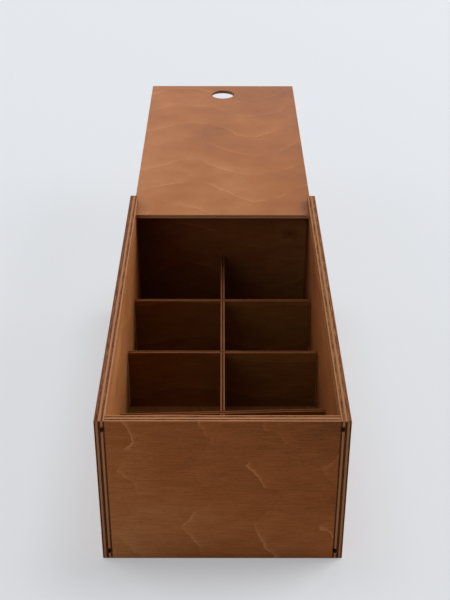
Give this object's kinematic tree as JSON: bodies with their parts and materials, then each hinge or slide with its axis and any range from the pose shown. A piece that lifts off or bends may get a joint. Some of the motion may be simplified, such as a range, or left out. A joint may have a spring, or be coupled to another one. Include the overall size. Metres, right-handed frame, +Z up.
{
  "type": "wooden box with a sliding lid",
  "caption": "Long plywood box with a lid that slides in side grooves and out over the low back panel, a thumb hole in the lid, and a loose half-lapped divider insert.",
  "frame": {"origin": "centre of the footprint of the box with its lid drawn out as at rest, on the plane that the box stands on", "axes": "+X to the right seen from the front panel, +Y from the front panel to the back panel, the way the lid opens, +Z up"},
  "size_m": [0.15, 0.5742, 0.107],
  "materials": {
    "stained_wall": "reddish-brown stained birch plywood, satin",
    "stained_lid": "reddish-brown stained birch plywood, satin",
    "stained_insert": "reddish-brown stained birch plywood, satin"
  },
  "bodies": {
    "box": {"left_side": "stained_wall", "right_side": "stained_wall", "front_panel": "stained_wall", "back_panel": "stained_wall", "bottom_panel": "stained_insert", "long_divider": "stained_insert", "cross_divider_front": "stained_insert", "cross_divider_middle": "stained_insert", "cross_divider_back": "stained_insert"},
    "lid": {"lid": "stained_lid"}
  },
  "joints": [
    {"name": "lid_slide", "type": "slide", "parent": "box", "child": "lid", "axis": [0, 1, 0], "range_m": [-0.2708, 0.03]}
  ]
}
